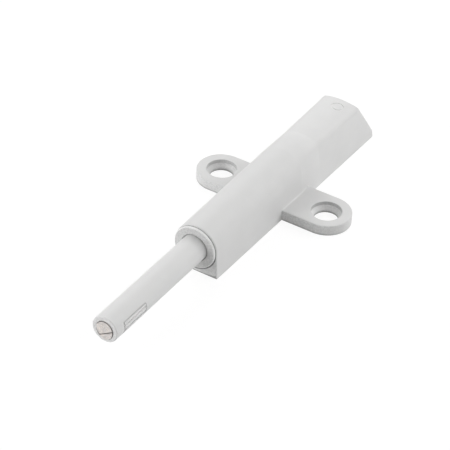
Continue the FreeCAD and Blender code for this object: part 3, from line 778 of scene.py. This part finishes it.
@dataclass(frozen=True)
class Housing:
    """The moulded housing with its ears, screw holes and mould mark.

    Attributes:
        colour: The colour of its plastic.
        front: The stretch along the plunger in which its front face lies.
        seam_shade: The painted shade in the gap between its mouth and the flange in it.
        flange_shade: The wider shade of the flange, down to the left.
        foot_shade: The dark low edge of the mouth, on a shallow arc.
        base_contact_shade: The painted shade of its front faces along the base, where they meet
            the floor.
        rear_light: The painted light on the back half.
        mark: The painted highlight on the ring of the mould mark.
        hole_spacing: The distance between the two screw holes.
        hole_step_shade: The painted shade on the step under a hole's upper edge.
        hole_wall_light: The painted light on the wall below that step.
        hole_rim_shade: The painted shade on the lower rim of a hole.
    """

    colour: Colour = grey(0.722, 0.001)
    front: Span = (-37.3 * MM, -36.95 * MM)
    # Painted shade in the gap round the flange.
    seam_shade: ToneRing = ToneRing(
        Axis.PLUNGER, ON_AXIS, radius=(5.8 * MM, 6.2 * MM), along=front, gain=0.5
    )
    flange_shade: ToneRing = ToneRing(
        Axis.PLUNGER,
        (-0.3 * MM, 0.0, AXIS_HEIGHT - 0.45 * MM),
        radius=(5.7 * MM, 6.25 * MM),
        along=front,
        gain=0.35,
    )
    foot_shade: ToneRing = ToneRing(
        Axis.PLUNGER,
        (0.0, 0.0, AXIS_HEIGHT + 30.0 * MM),
        radius=(37.25 * MM, 45.0 * MM),
        along=(-37.3 * MM, -36.9 * MM),
        gain=0.45,
        fade=0.3 * MM,
    )
    # Painted shade along the base of the front faces, where they meet the floor.
    base_contact_shade: ToneBand = ToneBand(
        (0.0, 0.0, 1.0), (-1.0 * MM, 0.42 * MM), gain=0.68, fade=0.4 * MM, front_only=True
    )
    # Painted light over the back half.
    rear_light: ToneBand = ToneBand((0.0, 1.0, 0.0), (9.0 * MM, 90.0 * MM), gain=1.045, fade=8.0 * MM)
    # Painted highlight on the ring of the mould mark.
    mark: ToneRing = ToneRing(
        Axis.UPRIGHT,
        (1.3 * MM, 29.3 * MM, 0.0),
        radius=(1.2 * MM, 1.8 * MM),
        along=(10.0 * MM, 16.0 * MM),
        gain=1.05,
    )
    hole_spacing: float = 32.0 * MM
    # Painted shade and light in the screw holes: shade under the upper edge and at the bottom,
    # light between.
    hole_step_shade: ToneRing = ToneRing(
        Axis.UPRIGHT, ORIGIN, radius=(3.9 * MM, 4.15 * MM), along=(1.9 * MM, 2.85 * MM), gain=0.76
    )
    hole_wall_light: ToneRing = ToneRing(
        Axis.UPRIGHT, ORIGIN, radius=(3.3 * MM, 4.15 * MM), along=(0.8 * MM, 1.85 * MM), gain=1.07
    )
    hole_rim_shade: ToneRing = ToneRing(
        Axis.UPRIGHT, ORIGIN, radius=(0.0, 3.35 * MM), along=(0.0, 0.5 * MM), gain=0.74
    )

    def hole_tones(self) -> tuple[ToneRing, ...]:
        """Give the painted shade and light of both screw holes.

        Returns:
            The tones.
        """
        return tuple(
            replace(ring, centre=(side * self.hole_spacing / 2, 0.0, 0.0))
            for side in (-1, 1)
            for ring in (self.hole_step_shade, self.hole_wall_light, self.hole_rim_shade)
        )

    def build(self, nodes: dict[str, bpy.types.Object]) -> None:
        """Dress the housing.

        Args:
            nodes: The frame's nodes by name.
        """
        # Painted shade round the mouth and along the base of the front faces.
        front = (self.seam_shade, self.flange_shade, self.foot_shade, self.base_contact_shade)
        tones = (*front, self.rear_light, self.mark, *self.hole_tones())
        dress(nodes["housing"], MouldedPlastic("housing_plastic", self.colour, tones).make())


@dataclass(frozen=True)
class SpringCoil:
    """The long spring, wound as a piece of its own.

    Attributes:
        mean_radius: Its radius, to the middle of the wire.
        wire: The wire's diameter.
        turns: How many turns it has.
        front: Where the plunger rests against it.
        seat: Where its fixed end stands on the plug.
        pressed: Its length with the plunger all the way in, as a share of its length at rest; not
            used.
        steps: Sections of the wire in one turn.
        sides: Corners of the wire's section.
    """

    mean_radius: float = 1.75 * MM
    wire: float = 0.35 * MM
    turns: int = 13
    front: float = -16.05 * MM
    seat: float = 27.9 * MM
    pressed: float = 0.156
    steps: int = 36
    sides: int = 12

    def section(self, share: float) -> list[Vector]:
        """Place the corners of the wire's section.

        Args:
            share: How far along the wire the section lies, from 0 to 1.

        Returns:
            The corners, in order round the wire.
        """
        turn = 2.0 * math.pi * self.turns * share
        start = self.front + self.wire / 2
        run = self.seat - self.wire / 2 - start
        out = Vector((math.cos(turn), 0.0, math.sin(turn)))
        around = Vector((-math.sin(turn), 0.0, math.cos(turn)))
        ahead = around * (2.0 * math.pi * self.turns * self.mean_radius) + Vector((0.0, run, 0.0))
        side = ahead.normalized().cross(out)
        middle = out * self.mean_radius + Vector((0.0, start + run * share, AXIS_HEIGHT))
        angles = (2.0 * math.pi * number / self.sides for number in range(self.sides))
        reaches = (out * math.cos(angle) + side * math.sin(angle) for angle in angles)
        return [middle + reach * (self.wire / 2) for reach in reaches]

    def wind(self) -> bpy.types.Mesh:
        """Wind the wire, round its sides and close its two ends.

        Returns:
            The spring's mesh.
        """
        rings = self.turns * self.steps
        points = [corner for ring in range(rings + 1) for corner in self.section(ring / rings)]
        faces: list[tuple[int, ...]] = []
        for here in range(0, rings * self.sides, self.sides):
            there = here + self.sides
            for side in range(self.sides):
                after = (side + 1) % self.sides
                faces.append((here + side, here + after, there + after, there + side))
        faces.append(tuple(reversed(range(self.sides))))
        faces.append(tuple(rings * self.sides + side for side in range(self.sides)))
        mesh = bpy.data.meshes.new("spring_coil")
        mesh.from_pydata(points, [], faces)
        coil = bmesh.new()
        coil.from_mesh(mesh)
        bmesh.ops.recalc_face_normals(coil, faces=coil.faces)
        for face in coil.faces:
            face.smooth = len(face.verts) == 4
        coil.to_mesh(mesh)
        coil.free()
        return mesh

    def build(self, finish: bpy.types.Material) -> None:
        """Wind the spring, dress it, tie it to the housing and hide the frame's own spring.

        Args:
            finish: The wire's material.
        """
        coil = bpy.data.objects.new("spring_coil", self.wind())
        bpy.context.scene.collection.objects.link(coil)
        dress(coil, finish)
        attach(coil, "housing")
        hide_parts("drive_spring")
        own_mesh(coil)


@dataclass(frozen=True)
class Cartridge:
    """The tube in the housing, and what it holds.

    Attributes:
        colour: The colour of its plastic.
        lip_highlight: The painted highlight on the outer edge of its flange.
        guide_gap_shade: The painted shade in the gap round the plunger, at the rim of the hole
            that guides it.
        wire: The finish of the spring, the pin and the catch hook.
        rubber: The finish of the stop buffer.
        spring: The long spring.
    """

    colour: Colour = grey(0.665, 0.001)
    # Painted highlight on the flange's outer edge.
    lip_highlight: ToneRing = ToneRing(
        Axis.PLUNGER,
        ON_AXIS,
        radius=(5.65 * MM, 6.0 * MM),
        along=(-37.8 * MM, -37.2 * MM),
        gain=1.32,
    )
    # Painted shade in the gap round the plunger.
    guide_gap_shade: ToneRing = ToneRing(
        Axis.PLUNGER,
        ON_AXIS,
        radius=(3.5 * MM, 3.9 * MM),
        along=(-37.8 * MM, -36.0 * MM),
        gain=0.6,
    )
    wire: PlatedMetal = PlatedMetal("spring_wire", grey(0.5, 0.004), Grain.ALONG_AXIS)
    rubber: SoftRubber = SoftRubber("buffer_rubber", grey(0.06))
    spring: SpringCoil = SpringCoil()

    def build(self, nodes: dict[str, bpy.types.Object]) -> None:
        """Dress the tube, the plug, the rod, the spring, the catch and the buffer.

        Args:
            nodes: The frame's nodes by name.
        """
        tones = (self.lip_highlight, self.guide_gap_shade)
        plastic = MouldedPlastic("cartridge_plastic", self.colour, tones).make()
        for name in ("cartridge_tube", "end_plug", "guide_rod"):
            dress(nodes[name], plastic)
        wire = self.wire.make()
        for name in ("drive_spring", "hook_pin", "catch_hook"):
            dress(nodes[name], wire)
        self.spring.build(wire)
        dress(nodes["stop_buffer"], self.rubber.make())


@dataclass(frozen=True)
class Plunger:
    """The plunger, the clip in its windows and the metal insert in its tip.

    Attributes:
        colour: The colour of its plastic.
        window: The stretch of the plunger that its two windows take.
        upper_gap_shade: The painted shade in the groove over the clip in each window.
        lower_gap_shade: The painted shade in the groove under it.
        upper_tongue_light: The painted light on the strip of the clip below the upper groove.
        lower_tongue_light: The painted light on the strip above the lower groove.
        ridge_highlight: The painted highlight between the two strips.
        tip: The stretch along the plunger in which its front face lies.
        tip_rim_light: The painted light on the outer edge of that face.
        pocket_gap_shade: The painted shade in the gap round the metal insert.
        nickel: The colour of the magnet.
        steel: The colour of the pole plate.
        split_angle: The slope of the line between those two, in degrees.
        split_offset: How far that line runs from the plunger's axis.
        split_width: How wide the painted shade along that line is on the pole plate.
        split_lap: How far that painted shade laps onto the magnet.
        split_gain: What the colour is multiplied by in that painted shade.
        split_fade: How wide its borders are.
    """

    colour: Colour = grey(0.752, 0.001)
    window: Span = (-72.4 * MM, -63.6 * MM)
    # Painted shade in the grooves round the clip, and painted light on its strips and between
    # them.
    upper_gap_shade: ToneLine = ToneLine(angle=24.5, half_width=2.6, along=window, gain=0.72)
    lower_gap_shade: ToneLine = ToneLine(angle=-11.5, half_width=2.6, along=window, gain=0.72)
    upper_tongue_light: ToneLine = ToneLine(angle=17.0, half_width=3.4, along=window, gain=1.05)
    lower_tongue_light: ToneLine = ToneLine(angle=-1.0, half_width=5.5, along=window, gain=1.05)
    ridge_highlight: ToneLine = ToneLine(angle=10.0, half_width=2.2, along=window, gain=1.12)
    tip: Span = (-75.8 * MM, -75.2 * MM)
    # Painted light on the outer edge of the tip face.
    tip_rim_light: ToneRing = ToneRing(
        Axis.PLUNGER, ON_AXIS, radius=(3.3 * MM, 4.2 * MM), along=tip, gain=1.05
    )
    # Painted shade in the gap round the metal insert.
    pocket_gap_shade: ToneRing = ToneRing(
        Axis.PLUNGER,
        (0.12 * MM, 0.0, AXIS_HEIGHT + 0.12 * MM),
        radius=(2.2 * MM, 2.42 * MM),
        along=tip,
        gain=0.6,
    )
    nickel: Colour = (0.65, 0.62, 0.60, 1.0)
    steel: Colour = (0.63, 0.60, 0.585, 1.0)
    split_angle: float = 58.1
    split_offset: float = 0.905 * MM
    split_width: float = 0.2 * MM
    split_lap: float = 0.06 * MM
    split_gain: float = 0.5
    split_fade: float = 0.1 * MM

    def split_shade(self, lap: float) -> ToneBand:
        """Paint shade along the gap between the magnet and the pole plate.

        Args:
            lap: How far the painted shade laps onto the magnet.

        Returns:
            The painted shade along that gap.
        """
        slope = math.radians(self.split_angle)
        across = (math.cos(slope), 0.0, -math.sin(slope))
        place = self.split_offset + across[2] * AXIS_HEIGHT
        span = (place - lap, place + self.split_width)
        return ToneBand(across, span, self.split_gain, self.split_fade)

    def build(self, nodes: dict[str, bpy.types.Object]) -> None:
        """Dress the plunger, its clip, the magnet and the pole plate.

        Args:
            nodes: The frame's nodes by name.
        """
        # Painted shade in the window's grooves and painted light on the clip's strips.
        gap_shades = (self.upper_gap_shade, self.lower_gap_shade)
        strips = (self.upper_tongue_light, self.lower_tongue_light, self.ridge_highlight)
        tones = (*gap_shades, *strips, self.tip_rim_light, self.pocket_gap_shade)
        plastic = MouldedPlastic("plunger_plastic", self.colour, tones).make()
        dress(nodes["plunger"], plastic)
        dress(nodes["magnet_clip"], plastic)
        # Painted shade in the gap between the magnet and the pole plate, on both parts.
        shade_on_magnet = (self.split_shade(self.split_lap),)
        shade_on_plate = (self.split_shade(0.0),)
        nickel = PlatedMetal("magnet_nickel", self.nickel, tones=shade_on_magnet)
        steel = PlatedMetal("pole_steel", self.steel, Grain.FACE, shade_on_plate)
        dress(nodes["magnet"], nickel.make())
        dress(nodes["pole_plate"], steel.make())


@dataclass(frozen=True)
class View:
    """The camera's place, from the angles and distances of the photographed view.

    Attributes:
        azimuth: Turn round the object, in degrees.
        elevation: Height over the horizon, in degrees.
        roll: Turn about the line of sight, in degrees.
        distance: Distance from the point that the camera aims at.
        aim: The point that the camera aims at.
        lens: Focal length in millimetres.
        sensor: Width of the sensor in millimetres.
        nearest: Distance from which the camera sees things.
    """

    azimuth: float = 31.22
    elevation: float = 37.35
    roll: float = -2.49
    distance: float = 533.4 * MM
    aim: Place = (-8.06 * MM, -10.21 * MM, -5.96 * MM)
    lens: float = 163.7
    sensor: float = 36.0
    nearest: float = 10.0 * MM

    def build(self) -> None:
        """Make the camera and make it the scene's own."""
        turn, rise, roll = map(math.radians, (self.azimuth, self.elevation, self.roll))
        level = Vector((math.cos(turn), math.sin(turn), 0.0))
        outward = Vector((math.sin(turn), -math.cos(turn), 0.0))
        back = outward * math.cos(rise) + Vector((0.0, 0.0, math.sin(rise)))
        upright = back.cross(level)
        right = level * math.cos(roll) - upright * math.sin(roll)
        up = level * math.sin(roll) + upright * math.cos(roll)
        camera = bpy.data.objects.new("view", bpy.data.cameras.new("view"))
        camera.data.sensor_width = self.sensor
        camera.data.lens = self.lens
        camera.data.clip_start = self.nearest
        facing = Matrix((right, up, back)).transposed().to_4x4()
        camera.matrix_world = Matrix.Translation(Vector(self.aim) + back * self.distance) @ facing
        bpy.context.scene.collection.objects.link(camera)
        bpy.context.scene.camera = camera


@dataclass(frozen=True)
class SoftBox:
    """A square lamp that faces the object.

    Attributes:
        name: The lamp's name.
        azimuth: Its direction round the object, in degrees from the front, over the right.
        elevation: Its height over the horizon, in degrees.
        side: The length of its side.
        power: Its power in watts.
        distance: Its distance from the object.
    """

    name: str
    azimuth: float
    elevation: float
    side: float
    power: float
    distance: float = 0.8

    def build(self) -> None:
        """Hang the lamp and turn it to the object."""
        turn, rise = math.radians(self.azimuth), math.radians(self.elevation)
        outward = Vector((math.sin(turn), -math.cos(turn), math.tan(rise))).normalized()
        lamp = bpy.data.lights.new(self.name, "AREA")
        lamp.size = self.side
        lamp.energy = self.power
        holder = bpy.data.objects.new(self.name, lamp)
        holder.location = outward * self.distance
        holder.rotation_mode = "QUATERNION"
        holder.rotation_quaternion = (-outward).to_track_quat("-Z", "Y")
        bpy.context.scene.collection.objects.link(holder)


@dataclass(frozen=True)
class Studio:
    """A plain pale floor under soft lamps, with a white background.

    Attributes:
        floor_side: The length of the floor's side.
        floor_drop: How far the floor lies under the object's base.
        floor_colour: The floor's own colour.
        floor_roughness: How dull the floor is.
        floor_white: The share of plain white in what the camera sees of the floor.
        floor_glow: The strength of that white.
        background: The colour of the background.
        sky_colour: The colour of the even light all round.
        sky_level: The strength of that light.
        base_level: The strength of the light from below, which only the underside gets.
        base_reach: How near the floor a surface has to lie to get it.
        lamps: The lamps.
    """

    floor_side: float = 4.0
    floor_drop: float = 0.02 * MM
    floor_colour: Colour = grey(0.85)
    floor_roughness: float = 0.9
    floor_white: float = 0.8
    floor_glow: float = 1.1
    background: Colour = grey(1.0)
    sky_colour: Colour = (1.0, 1.0, 0.975, 1.0)
    sky_level: float = 0.19
    base_level: float = 0.75
    base_reach: float = 0.15 * MM
    lamps: tuple[SoftBox, ...] = (
        SoftBox("front_left_lamp", azimuth=315.0, elevation=23.0, side=0.7, power=4.32),
        SoftBox("right_lamp", azimuth=90.0, elevation=35.0, side=0.6, power=1.38),
        SoftBox("rear_right_lamp", azimuth=135.0, elevation=35.0, side=0.6, power=2.5),
        SoftBox("rear_lamp", azimuth=180.0, elevation=35.0, side=0.6, power=1.2),
        SoftBox("rear_left_lamp", azimuth=225.0, elevation=35.0, side=0.6, power=1.42),
    )

    def build(self) -> None:
        """Hang the lamps, lay the floor and set the world."""
        for lamp in self.lamps:
            lamp.build()
        self.lay_floor()
        self.set_world()
        bpy.context.scene.view_settings.view_transform = "Standard"

    def lay_floor(self) -> None:
        """Lay the floor under the object."""
        half = self.floor_side / 2
        corners = [(-half, -half, 0.0), (half, -half, 0.0), (half, half, 0.0), (-half, half, 0.0)]
        mesh = bpy.data.meshes.new("floor")
        mesh.from_pydata(corners, [], [(0, 1, 2, 3)])
        mesh.materials.append(self.floor_finish())
        floor = bpy.data.objects.new("floor", mesh)
        floor.location.z = -self.floor_drop
        bpy.context.scene.collection.objects.link(floor)

    @staticmethod
    def seen_white(recipe: Recipe) -> bpy.types.NodeSocket:
        """Tell the rays that see the background: straight, mirrored or let through.

        Args:
            recipe: The nodes of the floor or the world.

        Returns:
            1 for those rays and 0 for the others.
        """
        path = recipe.add("ShaderNodeLightPath").outputs
        shiny = recipe.work(Sum.LARGER, path["Is Glossy Ray"], path["Is Transmission Ray"])
        return recipe.work(Sum.LARGER, path["Is Camera Ray"], shiny)

    def floor_finish(self) -> bpy.types.Material:
        """Make a matt white that can be seen through from below, and by the base that lies on it.

        Returns:
            The material.
        """
        material = bpy.data.materials.new("floor_white")
        recipe = Recipe(material)
        matt = recipe.shader
        recipe.feed(matt.inputs["Base Color"], self.floor_colour)
        recipe.feed(matt.inputs["Roughness"], self.floor_roughness)
        recipe.feed(matt.inputs["Specular IOR Level"], 0.0)
        white = recipe.add("ShaderNodeEmission")
        recipe.feed(white.inputs["Strength"], self.floor_glow)
        share = recipe.work(Sum.TIMES, self.seen_white(recipe), self.floor_white)
        above = recipe.mix(share, matt.outputs["BSDF"], white.outputs["Emission"])
        behind = recipe.add("ShaderNodeNewGeometry").outputs["Backfacing"]
        reach = recipe.add("ShaderNodeLightPath").outputs["Ray Length"]
        near = recipe.work(Sum.BELOW, reach, self.base_reach)
        clear = recipe.add("ShaderNodeBsdfTransparent").outputs["BSDF"]
        open_share = recipe.work(Sum.LARGER, behind, near)
        recipe.feed(recipe.surface, recipe.mix(open_share, above, clear))
        return material

    def set_world(self) -> None:
        """Make a white background with even light from it, and more of it from below."""
        world = bpy.data.worlds.new("studio")
        bpy.context.scene.world = world
        recipe = Recipe(world, "ShaderNodeOutputWorld", "ShaderNodeBackground")
        lit = recipe.shader
        way = recipe.add("ShaderNodeTexCoord").outputs["Generated"]
        below = recipe.work(Sum.BELOW, recipe.parts(way)["Z"], 0.0)
        rise = recipe.work(Sum.TIMES, below, self.base_level - self.sky_level)
        recipe.feed(lit.inputs["Color"], self.sky_colour)
        recipe.feed(lit.inputs["Strength"], recipe.work(Sum.PLUS, rise, self.sky_level))
        seen = recipe.add("ShaderNodeBackground")
        recipe.feed(seen.inputs["Color"], self.background)
        white = seen.outputs["Background"]
        both = recipe.mix(self.seen_white(recipe), lit.outputs["Background"], white)
        recipe.feed(recipe.surface, both)


def main() -> None:
    """Load the frame, set the camera, dress each sub-assembly and light the scene."""
    logging.basicConfig(level=logging.INFO, format="%(message)s")
    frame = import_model()
    View().build()
    for part in (Housing(), Cartridge(), Plunger()):
        part.build(frame["nodes"])
        LOG.info("finished the %s", type(part).__name__.lower())
    Studio().build()


if __name__ == "__main__":
    main()
